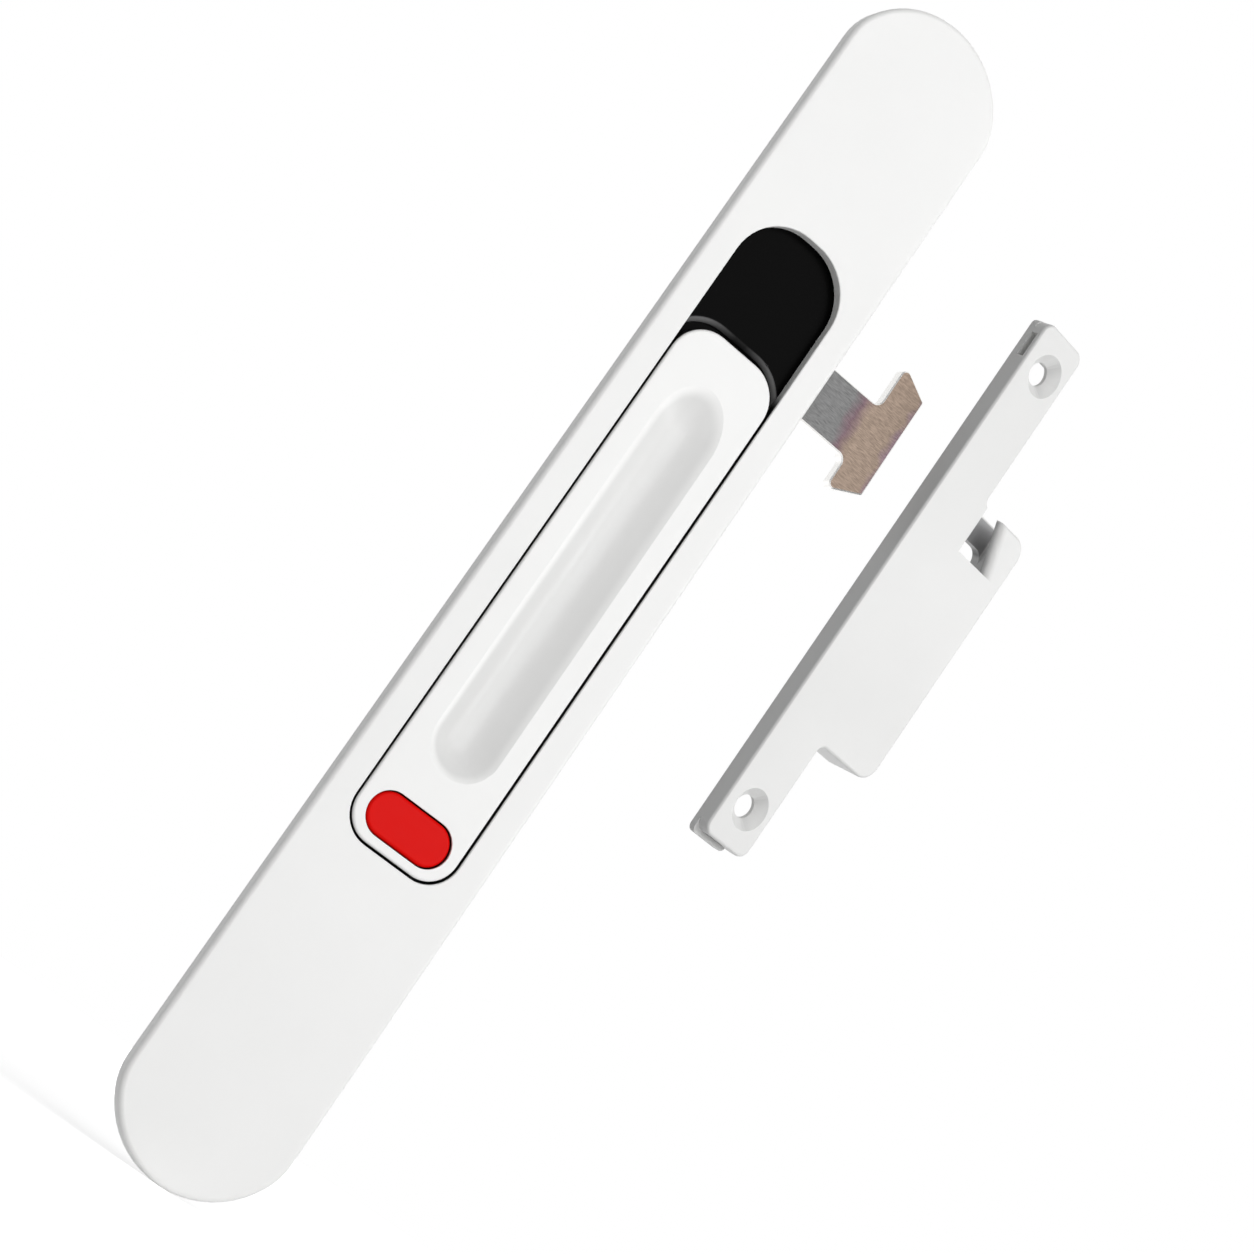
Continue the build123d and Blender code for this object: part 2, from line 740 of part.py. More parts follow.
def make_keeper():
    """Flat tab with two countersunk holes, and an ear that is hollow behind and open at its top."""
    tab = panel(tab_left, tab_right, -keeper_half, keeper_half, tab_corner)
    ear = panel(tab_right - tab_width / 2, ear_right, ear_bottom, ear_top, ear_corner)
    face = tab + ear
    face = fillet(corners_near(face, [tab_right], [ear_bottom, ear_top]), ear_inner_corner)
    body = fillet(edges_at(slab(face, 0, keeper_thick), 0), keeper_round)
    shell = panel(tab_right - ear_wall / 2, ear_right, ear_bottom, ear_top, ear_inner_corner / 2)
    body += slab(shell & face, keeper_thick / 2, ear_depth)
    body -= block(ear_inner_left, ear_inner_right, ear_wall, ear_depth - ear_wall,
                  pocket_floor, ear_top + overcut)
    body -= slab(throat(0), -overcut, 2 * ear_wall)
    body -= loft([plane_at(lip_round * (1 - cos(turn))) * throat(lip_round * (1 - sin(turn)))
                  for turn in lip_turns])
    window = panel(ear_inner_left, ear_inner_right, pocket_floor, ear_top - back_bar, window_corner)
    body -= slab(window, ear_depth - 2 * ear_wall, ear_depth + overcut)
    core = panel(ear_inner_left, ear_inner_right, ear_bottom + ear_wall, pocket_floor - core_gap,
                 ear_inner_corner)
    body -= slab(core, ear_wall, ear_depth + overcut)
    sink_depth = (countersink_diameter - keeper_hole_diameter) / 2
    for z in keeper_hole_places:
        body -= disc(0, z, keeper_hole_diameter, -overcut, keeper_thick + overcut)
        body -= cone(0, z, countersink_diameter, keeper_hole_diameter, 0, sink_depth)
    half_pry = pry_length / 2
    side_pry = keeper_hole_places[1] + half_pry
    pry_front = keeper_thick - pry_depth
    body -= block(tab_left - overcut, tab_left + pry_reach, pry_front, keeper_thick + overcut,
                  side_pry - half_pry, side_pry + half_pry)
    end_pry = tab_left + tab_corner + half_pry
    body -= block(end_pry - half_pry, end_pry + half_pry, pry_front, keeper_thick + overcut,
                  -keeper_half - overcut, -keeper_half + pry_reach)
    return place_keeper(body)


def make_keeper_packer():
    """Strip behind the tab, with slots open to one side so that it slips in behind the screws."""
    back = keeper_thick + packer_thick
    shape = panel(tab_left, tab_left + packer_width, -keeper_half - packer_past_tab,
                  keeper_half - packer_setback, packer_corner)
    strip = slab(shape, keeper_thick, back)
    half = keeper_hole_diameter / 2 + packer_setback
    for z in keeper_hole_places:
        strip -= disc(0, z, 2 * half, keeper_thick - overcut, back + overcut)
        strip -= block(0, packer_width, keeper_thick - overcut, back + overcut, z - half, z + half)
    return place_keeper(strip)


def place_keeper(solid):
    """The keeper stands beside the lock, turned about its own length."""
    place = (head_outer + keeper_past_hook, keeper_y, hook_z - keeper_below_hook)
    return Location(place, (keeper_lean_angle, keeper_roll_angle, keeper_turn_angle)) * solid


def build():
    screw_reach = screw_depth - screw_tip_gap
    parts = {
        "face_plate": make_face_plate(),
        "slider": make_slider(),
        "button": make_button(),
        "button_clip": make_button_clip(),
        "button_spring": make_button_spring(),
        "upper_shield": make_upper_shield(),
        "lower_shield": make_lower_shield(),
        "carriage": make_carriage(),
        "hook": make_hook(),
        "hook_washers": make_hook_washers(),
        "chassis": make_chassis(),
        "back_cover": make_back_cover(),
        "mount_bushings": make_mount_bushings(),
        "catch_spring": make_catch_spring(),
        "catch_rivet": make_catch_rivet(),
        "drag_spring": make_drag_spring(),
        "lower_bumper": make_bumper(lower_stop - bumper_thick, lower_stop),
        "upper_bumper": make_bumper(upper_stop, upper_stop + bumper_thick),
        "keeper": make_keeper(),
        "keeper_packer": make_keeper_packer(),
        "plate_screws": Compound([
            pan_screw(0, z, lug_back, boss_back - screw_reach) for z in lug_places]),
        "cover_screws": Compound([
            pan_screw(x, z, cover_back, chassis_depth - screw_reach) for x, z in cover_screw_places]),
        "slider_screws": Compound([
            pan_screw(0, z, carriage_back, slider_back - screw_reach) for z in slider_screw_places]),
        "hook_screws": Compound([
            pan_screw(0, z, hook_back + washer_thick, carriage_front + screw_tip_gap)
            for z in hook_screw_places]),
    }
    for name, (x, z) in glide_places.items():
        parts[name] = make_glide(x, z)
    return parts


os.makedirs("parts", exist_ok=True)
for name, solid in build().items():
    export_step(solid, os.path.join("parts", name + ".step"))
    print(name, len(solid.solids()), round(solid.volume, 1))
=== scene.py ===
# %% [markdown]
# # A flush sliding-window lock and its keeper
# The lock is let into the edge of a sliding sash. A fingertip in the long scoop moves the white slider,
# and with it the steel hook, which catches in the keeper on the window frame. The red button frees the
# slider before it can move. The shapes come from the imported model, so this script gives them what they
# still lack: finishes, light and a camera. Two springs also get meshes of their own.

# %% Load the imported model
from math import cos, pi, radians, sin

import bpy
from mathutils import Matrix, Quaternion, Vector


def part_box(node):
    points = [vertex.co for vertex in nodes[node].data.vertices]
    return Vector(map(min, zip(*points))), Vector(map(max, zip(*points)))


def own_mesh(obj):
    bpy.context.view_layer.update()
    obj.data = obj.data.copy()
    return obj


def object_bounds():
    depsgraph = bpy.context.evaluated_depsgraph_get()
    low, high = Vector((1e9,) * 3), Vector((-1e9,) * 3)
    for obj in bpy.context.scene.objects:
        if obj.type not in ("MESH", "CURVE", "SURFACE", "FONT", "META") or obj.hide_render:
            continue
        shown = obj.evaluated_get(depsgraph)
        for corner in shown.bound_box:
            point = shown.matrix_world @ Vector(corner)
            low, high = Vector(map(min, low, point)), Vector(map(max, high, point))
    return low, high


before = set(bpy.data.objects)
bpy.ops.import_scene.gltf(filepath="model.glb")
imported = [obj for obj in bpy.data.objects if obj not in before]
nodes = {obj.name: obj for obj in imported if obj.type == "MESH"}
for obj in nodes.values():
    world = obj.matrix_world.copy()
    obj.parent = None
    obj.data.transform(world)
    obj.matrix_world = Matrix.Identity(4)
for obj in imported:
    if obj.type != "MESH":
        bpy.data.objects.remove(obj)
cad_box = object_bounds()

# %% [markdown]
# ## Units and one helper for nodes
# Blender works in metres, and this lock is best thought of in millimetres, so one value converts
# between them. Every finish below is a small network of shader nodes. Written out in full, each node
# takes four or five lines, so one helper adds a node with its settings and links in a single call, which
# keeps a finish short enough to read.

# %% Units and the node helper
mm = 0.001


def add_node(tree, kind, settings=None, values=None, links=None):
    """Add a shader node, set its properties and unlinked sockets, and link its other sockets."""
    node = tree.nodes.new(kind)
    for name, value in (settings or {}).items():
        setattr(node, name, value)
    for socket, value in (values or {}).items():
        node.inputs[socket].default_value = value
    for socket, source in (links or {}).items():
        tree.links.new(source, node.inputs[socket])
    return node


print("size in mm:", [round((high - low) / mm, 1) for low, high in zip(*cad_box)])

# %% [markdown]
# ## Colours
# A colour is picked as people write it, in sRGB hex, but the renderer adds and multiplies light, so it
# needs linear values. One function does that change for every finish. The numbers in it are those of the
# sRGB standard.

# %% Colour conversion
def linear(hex_code, alpha=1.0):
    """Turn an sRGB hex colour into the linear colour that a shader socket takes."""
    channels = [int(hex_code[i:i + 2], 16) / 255 for i in (1, 3, 5)]
    return [c / 12.92 if c <= 0.04045 else ((c + 0.055) / 1.055) ** 2.4 for c in channels] + [alpha]


print("mid grey in linear light:", round(linear("#808080")[0], 3))

# %% [markdown]
# ## The start of every finish
# Each finish starts with the same three nodes: a principled surface, its output, and coordinates taken
# from the piece itself. The pieces sit in one shared frame, so these coordinates are metres on the real
# lock. They need no unwrapping, and they travel with a piece when it moves.

# %% Start a finish
def start_finish(name):
    """A new material with its node tree, its principled surface and coordinates in metres."""
    material = bpy.data.materials.new(name)
    material.use_nodes = True
    tree = material.node_tree
    tree.nodes.clear()
    surface = add_node(tree, "ShaderNodeBsdfPrincipled")
    add_node(tree, "ShaderNodeOutputMaterial", links={"Surface": surface.outputs["BSDF"]})
    metres = add_node(tree, "ShaderNodeTexCoord").outputs["Object"]
    return material, tree, surface, metres


def give(material, *names):
    """Put one finish on some of the model's pieces, in place of any that they have."""
    for name in names:
        mesh = nodes[name].data
        mesh.materials.clear()
        mesh.materials.append(material)
    print(material.name, "->", ", ".join(names))


# %% [markdown]
# ## White powder coat
# The plate, the slider and the keeper are zinc castings with a satin white polyester powder coat. The
# powder melts into a skin about a tenth of a millimetre thick that never lies quite flat: under a raking
# light it shows soft waves, called orange peel, a millimetre or two apart. Displacement could raise them,
# but they are far too shallow to change the outline, so a noise texture only bends the normal. A second,
# larger noise moves the colour and the roughness a little, as handling does. Polyester has an index of
# refraction near 1.5, and a satin coat sits near 0.35 in roughness.

# %% Powder coat
# Most of a noise texture's values lie between these two
noise_low = 0.3
noise_high = 0.7


def powder_coat(name, hex_code, shade_hex, peel_spacing, peel_height, roughness):
    """A satin white coat; returns the material with what a cell needs to change its colour locally."""
    material, tree, surface, metres = start_finish(name)
    peel = add_node(tree, "ShaderNodeTexNoise", values={"Scale": 1 / peel_spacing, "Detail": 2.0},
                    links={"Vector": metres})
    bump = add_node(tree, "ShaderNodeBump", values={"Strength": 0.5, "Distance": peel_height},
                    links={"Height": peel.outputs["Fac"]})
    cloud_size = 22 * mm
    cloud = add_node(tree, "ShaderNodeTexNoise", values={"Scale": 1 / cloud_size, "Detail": 3.0},
                     links={"Vector": metres})
    tint = add_node(tree, "ShaderNodeMix", settings={"data_type": "RGBA"},
                    values={"A": linear(hex_code), "B": linear(shade_hex)},
                    links={"Factor": cloud.outputs["Fac"]})
    worn = 0.04
    handling = add_node(tree, "ShaderNodeMapRange",
                        values={"From Min": noise_low, "From Max": noise_high,
                                "To Min": roughness - worn, "To Max": roughness + worn},
                        links={"Value": cloud.outputs["Fac"]})
    surface.inputs["IOR"].default_value = 1.5
    tree.links.new(tint.outputs["Result"], surface.inputs["Base Color"])
    tree.links.new(handling.outputs["Result"], surface.inputs["Roughness"])
    tree.links.new(bump.outputs["Normal"], surface.inputs["Normal"])
    return material, tree, surface, metres, tint.outputs["Result"]


# %% [markdown]
# ## Regions of a piece
# Some finishes change with the place on the piece: a rubbed scoop, a wall dusted with graphite. Faces
# could be picked by hand for a second material, but that leaves a hard edge, and it has to be done again
# when the shape changes. A mask worked out from coordinates follows the shape and fades softly. A region
# is written as its sides. Each side is a smooth step that rises from 0 to the mask of the sides before
# it, so all the sides multiply.

# %% Region masks
def region(tree, *sides, within=None):
    """A mask that is 1 inside every side (value, start, end) and 0 outside, times the mask within."""
    mask = within
    for value, start, end in sides:
        step = add_node(tree, "ShaderNodeMapRange", settings={"interpolation_type": "SMOOTHSTEP"},
                        values={"From Min": start, "From Max": end}, links={"Value": value})
        if mask is not None:
            tree.links.new(mask, step.inputs["To Max"])
        mask = step.outputs["Result"]
    return mask


# %% [markdown]
# ## Painted shade in the plate's pocket
# The slider runs inside the plate's pocket, and a crisp black line of shade runs round it. A narrow gap
# alone would look grey, because white walls pass the light on to each other, so the shade is painted:
# the walls of the pocket are coloured near black from just below the plate's face, as far up as the
# slider reaches when it is locked.

# %% The plate's coat
slider_low, slider_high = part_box("slider")
plate_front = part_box("face_plate")[0].y
# The near black of the painted shade in the gaps round the slider
gap_shade_hex = "#0C0C0D"
wall_shade_from = 0.2 * mm
wall_shade_full = 0.45 * mm
wall_beyond_slider = 0.5 * mm
wall_fade = 0.1 * mm
wall_shade_top_fade = 3 * mm
wall_x = slider_high.x + wall_beyond_slider
wall_low_z = slider_low.z - wall_beyond_slider

plate_coat, tree, surface, metres, white = powder_coat(
    "satin_white_powder_coat", "#F9F9F8", "#F5F5F4", peel_spacing=1.8 * mm, peel_height=0.02 * mm,
    roughness=0.36)
place = add_node(tree, "ShaderNodeSeparateXYZ", links={"Vector": metres})
from_middle = add_node(tree, "ShaderNodeMath", settings={"operation": "ABSOLUTE"},
                       links={0: place.outputs["X"]})
# Painted shade: the pocket's walls beside the slider turn near black, from just below the face
painted_wall_shade = region(tree,
                   (place.outputs["Y"], plate_front + wall_shade_from, plate_front + wall_shade_full),
                   (from_middle.outputs["Value"], wall_x + wall_fade, wall_x),
                   (place.outputs["Z"], slider_high.z, slider_high.z - wall_shade_top_fade),
                   (place.outputs["Z"], wall_low_z - wall_fade, wall_low_z))
plate_colour = add_node(tree, "ShaderNodeMix", settings={"data_type": "RGBA"},
                        values={"B": linear(gap_shade_hex)}, links={"Factor": painted_wall_shade, "A": white})
tree.links.new(plate_colour.outputs["Result"], surface.inputs["Base Color"])
give(plate_coat, "face_plate")

# %% [markdown]
# ## Painted shade in the slider's scoop
# The slider wears the same coat. Its scoop is painted a slightly grey white as shade in the hollow,
# most of all on the left. The geometry node's pointiness finds worn edges, but it hardly shows in a wide
# smooth hollow. The depth behind the front face, which is a distance along Y, finds the hollow, and the
# painted shade falls off along X.

# %% Painted shade in the scoop
slider_front = slider_low.y
scoop_shade_depth = 0.7 * mm
scoop_shade_most_x = -1.5 * mm
scoop_shade_least_x = 3.0 * mm
scoop_shade_least = 0.4

slider_coat, tree, surface, metres, white = powder_coat(
    "slider_powder_coat", "#FBFBFA", "#F8F8F7", peel_spacing=1.8 * mm, peel_height=0.015 * mm,
    roughness=0.34)
place = add_node(tree, "ShaderNodeSeparateXYZ", links={"Vector": metres})
painted_light_by_side = add_node(tree, "ShaderNodeMapRange",
                       values={"From Min": scoop_shade_least_x, "From Max": scoop_shade_most_x,
                               "To Min": scoop_shade_least},
                       links={"Value": place.outputs["X"]})
# Painted shade: a grey white that deepens into the scoop, strongest on its left
painted_scoop_shade = region(tree, (place.outputs["Y"], slider_front, slider_front + scoop_shade_depth),
             within=painted_light_by_side.outputs["Result"])
scoop_colour = add_node(tree, "ShaderNodeMix", settings={"data_type": "RGBA"},
                        values={"B": linear("#E3E3E2")}, links={"Factor": painted_scoop_shade, "A": white})
print("the front of the slider lies at y =", round(slider_front / mm, 2), "mm")

# %% [markdown]
# ## Painted shade on the slider's sides
# The slider's sides and flanges are painted near black as shade in the gap, as the pocket's walls are,
# from a little below its front face. The scoop reaches just as deep, so depth alone would blacken it too.
# The mask is therefore kept to what lies beside the scoop or past its two ends.

# %% Painted shade on the slider's sides
side_shade_starts = 0.3 * mm
side_shade_full = 0.5 * mm
scoop_half_width = 5.7 * mm
scoop_margin = 0.2 * mm
side_fade = 0.4 * mm
end_fade = 0.3 * mm
scoop_above_button = 1.2 * mm
scoop_below_top = 3.5 * mm
button_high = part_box("button")[1]
scoop_side = scoop_half_width + scoop_margin
scoop_low_end = button_high.z + scoop_above_button
scoop_high_end = slider_high.z - scoop_below_top

from_middle = add_node(tree, "ShaderNodeMath", settings={"operation": "ABSOLUTE"},
                       links={0: place.outputs["X"]})
off_scoop = region(tree, (from_middle.outputs["Value"], scoop_side, scoop_side + side_fade))
for end, faded in ((scoop_low_end, scoop_low_end - end_fade), (scoop_high_end, scoop_high_end + end_fade)):
    past_end = region(tree, (place.outputs["Z"], end, faded))
    off_scoop = add_node(tree, "ShaderNodeMath", settings={"operation": "MAXIMUM"},
                         links={0: off_scoop, 1: past_end}).outputs["Value"]
# Painted shade: near black on the slider's sides and flanges, beside the scoop and past its ends
painted_side_shade = region(tree, (place.outputs["Y"], slider_front + side_shade_starts, slider_front + side_shade_full),
                   within=off_scoop)
slider_colour = add_node(tree, "ShaderNodeMix", settings={"data_type": "RGBA"},
                         values={"B": linear(gap_shade_hex)},
                         links={"Factor": painted_side_shade, "A": scoop_colour.outputs["Result"]})
tree.links.new(slider_colour.outputs["Result"], surface.inputs["Base Color"])
give(slider_coat, "slider")

# %% [markdown]
# ## The keeper: painted shade in its pocket and on its left side
# The keeper's face is white. Inside its ear the coat is painted grey as the shade in the pocket, and its
# long left side is painted a paler grey as the shade on a face turned away from the light.
# The keeper stands turned, and regions along the shared axes would cut it aslant. A mapping node of the
# texture kind takes the coordinates back through the keeper's place and turn, so that its regions are
# measured in its own axes.

# %% The keeper's coat
keeper_place = Vector((41.55, -0.5, 28.85)) * mm
keeper_turn = (Matrix.Rotation(radians(4.9), 3, "X") @ Matrix.Rotation(radians(-1.6), 3, "Y")
               @ Matrix.Rotation(radians(18.9), 3, "Z"))
keeper_left = keeper_turn @ Vector((-1, 0, 0))
throat_left = 4.9 * mm
throat_right = 14.6 * mm
pocket_floor = 4.0 * mm
ear_top = 18.1 * mm
ear_shade_from = 0.35 * mm
ear_shade_full_at = 2.2 * mm
pocket_fade = 0.3 * mm
throat_fade = 0.5 * mm
ear_fade = 0.2 * mm
left_shade_from = throat_left - 2 * mm
left_shade_full = throat_left - 4 * mm
# How much a surface faces the keeper's left: 1 is squarely, 0 is not at all
leans_left = 0.1
faces_left = 0.5

keeper_coat, tree, surface, metres, white = powder_coat(
    "keeper_powder_coat", "#E8E8E7", "#E4E4E3", peel_spacing=1.6 * mm, peel_height=0.025 * mm,
    roughness=0.38)
own_axes = add_node(tree, "ShaderNodeMapping", settings={"vector_type": "TEXTURE"},
                    values={"Location": keeper_place, "Rotation": keeper_turn.to_euler("XYZ")},
                    links={"Vector": metres})
place = add_node(tree, "ShaderNodeSeparateXYZ", links={"Vector": own_axes.outputs["Vector"]})
faces = add_node(tree, "ShaderNodeNewGeometry")
leftward = add_node(tree, "ShaderNodeVectorMath", settings={"operation": "DOT_PRODUCT"},
                    values={1: keeper_left}, links={0: faces.outputs["True Normal"]})
painted_left_shade = region(tree,
                      (leftward.outputs["Value"], leans_left, faces_left),
                      (place.outputs["X"], left_shade_from, left_shade_full))
painted_ear_shade = region(tree,
                    (place.outputs["Y"], ear_shade_from, ear_shade_full_at),
                    (place.outputs["X"], throat_left, throat_left + pocket_fade),
                    (place.outputs["X"], throat_right + throat_fade, throat_right),
                    (place.outputs["Z"], pocket_floor, pocket_floor + pocket_fade),
                    (place.outputs["Z"], ear_top + ear_fade, ear_top))
keeper_colour = white
# Painted shade: paler grey on the long left side, darker grey inside the ear
for hex_code, mask in (("#D1D1D0", painted_left_shade), ("#A0A0A1", painted_ear_shade)):
    keeper_colour = add_node(tree, "ShaderNodeMix", settings={"data_type": "RGBA"},
                             values={"B": linear(hex_code)},
                             links={"Factor": mask, "A": keeper_colour}).outputs["Result"]
tree.links.new(keeper_colour, surface.inputs["Base Color"])
give(keeper_coat, "keeper")

# %% [markdown]
# ## Moulded plastics
# The red button is moulded ABS. The packer behind the keeper is plain acetal, the glides are natural
# nylon, and the bumpers are black rubber. The eye tells them apart by colour, by how fine the mould's
# grain is and by how much they shine. They could each have a network of their own, but the nodes would
# be the same, so one function makes them all: a principled surface with a noise for the grain. A shine of
# 0.5 is a plain clean plastic. The button's is much lower, because its face is finely matted and the
# lamps leave no glint on it.

# %% Moulded plastic
def moulded_plastic(name, hex_code, grain_spacing, grain_height, roughness, refraction, shine=0.5):
    """A plastic with its mould's grain; returns the material with what a cell needs to recolour it."""
    material, tree, surface, metres = start_finish(name)
    grain = add_node(tree, "ShaderNodeTexNoise", values={"Scale": 1 / grain_spacing, "Detail": 3.0},
                     links={"Vector": metres})
    bump = add_node(tree, "ShaderNodeBump", values={"Strength": 0.6, "Distance": grain_height},
                    links={"Height": grain.outputs["Fac"]})
    uneven = 0.05
    gloss = add_node(tree, "ShaderNodeMapRange",
                     values={"From Min": noise_low, "From Max": noise_high,
                             "To Min": roughness - uneven, "To Max": roughness + uneven},
                     links={"Value": grain.outputs["Fac"]})
    surface.inputs["Base Color"].default_value = linear(hex_code)
    surface.inputs["IOR"].default_value = refraction
    surface.inputs["Specular IOR Level"].default_value = shine
    tree.links.new(gloss.outputs["Result"], surface.inputs["Roughness"])
    tree.links.new(bump.outputs["Normal"], surface.inputs["Normal"])
    return material, tree, surface, metres


button_abs = moulded_plastic("red_moulded_abs", "#E70C07", grain_spacing=1.2 * mm, grain_height=0.01 * mm,
                             roughness=0.34, refraction=1.54, shine=0.06)[0]
packer_acetal = moulded_plastic("grey_white_acetal", "#D1D1D0", grain_spacing=0.8 * mm,
                                grain_height=0.015 * mm, roughness=0.5, refraction=1.48)[0]
glide_nylon = moulded_plastic("natural_nylon", "#E2DDCB", grain_spacing=0.6 * mm,
                              grain_height=0.015 * mm, roughness=0.45, refraction=1.53)[0]
bumper_rubber = moulded_plastic("black_rubber", "#161616", grain_spacing=0.3 * mm,
                                grain_height=0.03 * mm, roughness=0.8, refraction=1.52)[0]
give(button_abs, "button")
give(packer_acetal, "keeper_packer")
give(glide_nylon, "glide_upper_left", "glide_upper_right", "glide_lower_left", "glide_lower_right")
give(bumper_rubber, "lower_bumper", "upper_bumper")

# %% [markdown]
# ## The black shields and their painted highlight
# The shields are glass-filled nylon from a spark-eroded mould, which leaves a fine even grain that
# swallows the light. The real grain is under a tenth of a millimetre. It is drawn at 0.35 mm, so that a
# trace of it shows. The rounded crease above the slider carries a painted highlight, a dark grey that is
# strongest towards the two sides. A second material would need its faces picked out, but the crease is
# the only place in sight where the shield's surface leans, so the way that it faces finds it. The
# highlight is painted into the colour alone, because a shine that differs from place to place is lost
# when the model is exported.

# %% Black shields
black_hex = "#030303"
# How squarely a surface faces the front or the back: 1 is flat on, 0 is sideways
flat_at = 1.0
leaning_from = 0.96
leaning_until = 0.4
sideways_at = 0.15
highlight_middle_share = 0.12
highlight_dim_until = 1 * mm
highlight_full_from = 6 * mm

black_nylon, tree, surface, metres = moulded_plastic(
    "black_moulded_nylon", black_hex, grain_spacing=0.35 * mm, grain_height=0.006 * mm, roughness=0.3,
    refraction=1.53, shine=0.02)
faces = add_node(tree, "ShaderNodeNewGeometry")
facing = add_node(tree, "ShaderNodeSeparateXYZ", links={"Vector": faces.outputs["True Normal"]})
frontal = add_node(tree, "ShaderNodeMath", settings={"operation": "ABSOLUTE"},
                   links={0: facing.outputs["Y"]})
place = add_node(tree, "ShaderNodeSeparateXYZ", links={"Vector": metres})
from_middle = add_node(tree, "ShaderNodeMath", settings={"operation": "ABSOLUTE"},
                       links={0: place.outputs["X"]})
painted_light_by_side = add_node(tree, "ShaderNodeMapRange",
                       values={"From Min": highlight_dim_until, "From Max": highlight_full_from,
                               "To Min": highlight_middle_share},
                       links={"Value": from_middle.outputs["Value"]})
# Painted highlight: the crease's leaning faces turn dark grey, most towards the two sides
painted_crest_highlight = region(tree,
               (frontal.outputs["Value"], flat_at, leaning_from),
               (frontal.outputs["Value"], sideways_at, leaning_until),
               within=painted_light_by_side.outputs["Result"])
shield_colour = add_node(tree, "ShaderNodeMix", settings={"data_type": "RGBA"},
                         values={"A": linear(black_hex), "B": linear("#707070")}, links={"Factor": painted_crest_highlight})
tree.links.new(shield_colour.outputs["Result"], surface.inputs["Base Color"])
give(black_nylon, "upper_shield", "lower_shield")

# %% [markdown]
# ## Brushed metal
# A belt leaves long parallel scratches in a metal, some deep enough to see singly. An anisotropic surface
# would give only the streak of light that they make together. A noise texture that is stretched along the
# belt's path draws the scratches themselves. It drives the colour, the roughness and the bump together,
# because a deep scratch is darker, duller and lower all at once.

# %% Brushed metal
# Most of a scratch noise's values lie between these two
scratch_low = 0.35
scratch_high = 0.65


def scratches(tree, metres, spacing, stretch, turn):
    """A noise whose grains are stretched along X, turned in the XZ plane."""
    along = add_node(tree, "ShaderNodeMapping",
                     values={"Rotation": (0, turn, 0), "Scale": (1 / stretch, 1, 1)},
                     links={"Vector": metres})
    return add_node(tree, "ShaderNodeTexNoise",
                    values={"Scale": 1 / spacing, "Detail": 6.0, "Roughness": 0.65},
                    links={"Vector": along.outputs["Vector"]}).outputs["Fac"]


def brushed_metal(name, light_hex, dark_hex, spacing, height, turn, stretch, roughness):
    """A metal whose marks are spacing wide, stretch times as long and turned from X."""
    material, tree, surface, metres = start_finish(name)
    scratch = scratches(tree, metres, spacing, stretch, turn)
    tint = add_node(tree, "ShaderNodeValToRGB", links={"Fac": scratch})
    dark, light = tint.color_ramp.elements
    dark.position, dark.color = 0.36, linear(dark_hex)
    light.position, light.color = 0.62, linear(light_hex)
    uneven = 0.08
    gloss = add_node(tree, "ShaderNodeMapRange",
                     values={"From Min": scratch_low, "From Max": scratch_high,
                             "To Min": roughness + uneven, "To Max": roughness - uneven},
                     links={"Value": scratch})
    bump = add_node(tree, "ShaderNodeBump", values={"Strength": 0.7, "Distance": height},
                    links={"Height": scratch})
    surface.inputs["Metallic"].default_value = 1.0
    tree.links.new(tint.outputs["Color"], surface.inputs["Base Color"])
    tree.links.new(gloss.outputs["Result"], surface.inputs["Roughness"])
    tree.links.new(bump.outputs["Normal"], surface.inputs["Normal"])
    return material


# %% [markdown]
# ## The hook's tint
# The hook is blanked from 2 mm stainless sheet. Its head is coloured a warm grey-brown, its neck a
# neutral grey, and faint purple lies between them and at the head's far edge. Two materials would meet in
# a line, but these colours blend into each other. So the distance along the hook picks the colour from a
# row of stops, and a noise moves that distance to and fro.

# %% Hook tint
hook_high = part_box("hook")[1]
head_reach = 5.5 * mm
tint_before_head = 0.4 * mm
tint_width = 3.6 * mm
tint_patch = 3 * mm
tint_drift = 3 * mm
tint_ends = hook_high.x - head_reach - tint_before_head
tint_starts = tint_ends - tint_width
tint_share = tint_width / (hook_high.x - tint_starts)
brown_until = 0.88
neck_hex = "#575757"
purple_hex = "#55464B"
brown_hex = "#6D6056"
tip_hex = "#65565C"

hook_steel, tree, surface, metres = start_finish("tinted_stainless_steel")
place = add_node(tree, "ShaderNodeSeparateXYZ", links={"Vector": metres})
tint_noise = add_node(tree, "ShaderNodeTexNoise", values={"Scale": 1 / tint_patch, "Detail": 3.0},
                      links={"Vector": metres})
tint_shift = add_node(tree, "ShaderNodeMath", settings={"operation": "MULTIPLY_ADD"},
                      values={1: tint_drift, 2: -tint_drift / 2}, links={0: tint_noise.outputs["Fac"]})
tint_place = add_node(tree, "ShaderNodeMath", settings={"operation": "ADD"},
                      links={0: place.outputs["X"], 1: tint_shift.outputs["Value"]})
tint_along = add_node(tree, "ShaderNodeMapRange", values={"From Min": tint_starts, "From Max": hook_high.x},
                links={"Value": tint_place.outputs["Value"]})
hook_tint = add_node(tree, "ShaderNodeValToRGB", links={"Fac": tint_along.outputs["Result"]})
stops = hook_tint.color_ramp.elements
stops[0].color = linear(neck_hex)
stops[1].color = linear(tip_hex)
for stop, hex_code in ((tint_share / 2, purple_hex), (tint_share, brown_hex), (brown_until, brown_hex)):
    stops.new(stop).color = linear(hex_code)
print("the tint starts", round((hook_high.x - tint_starts) / mm, 1), "mm before the hook's tip")

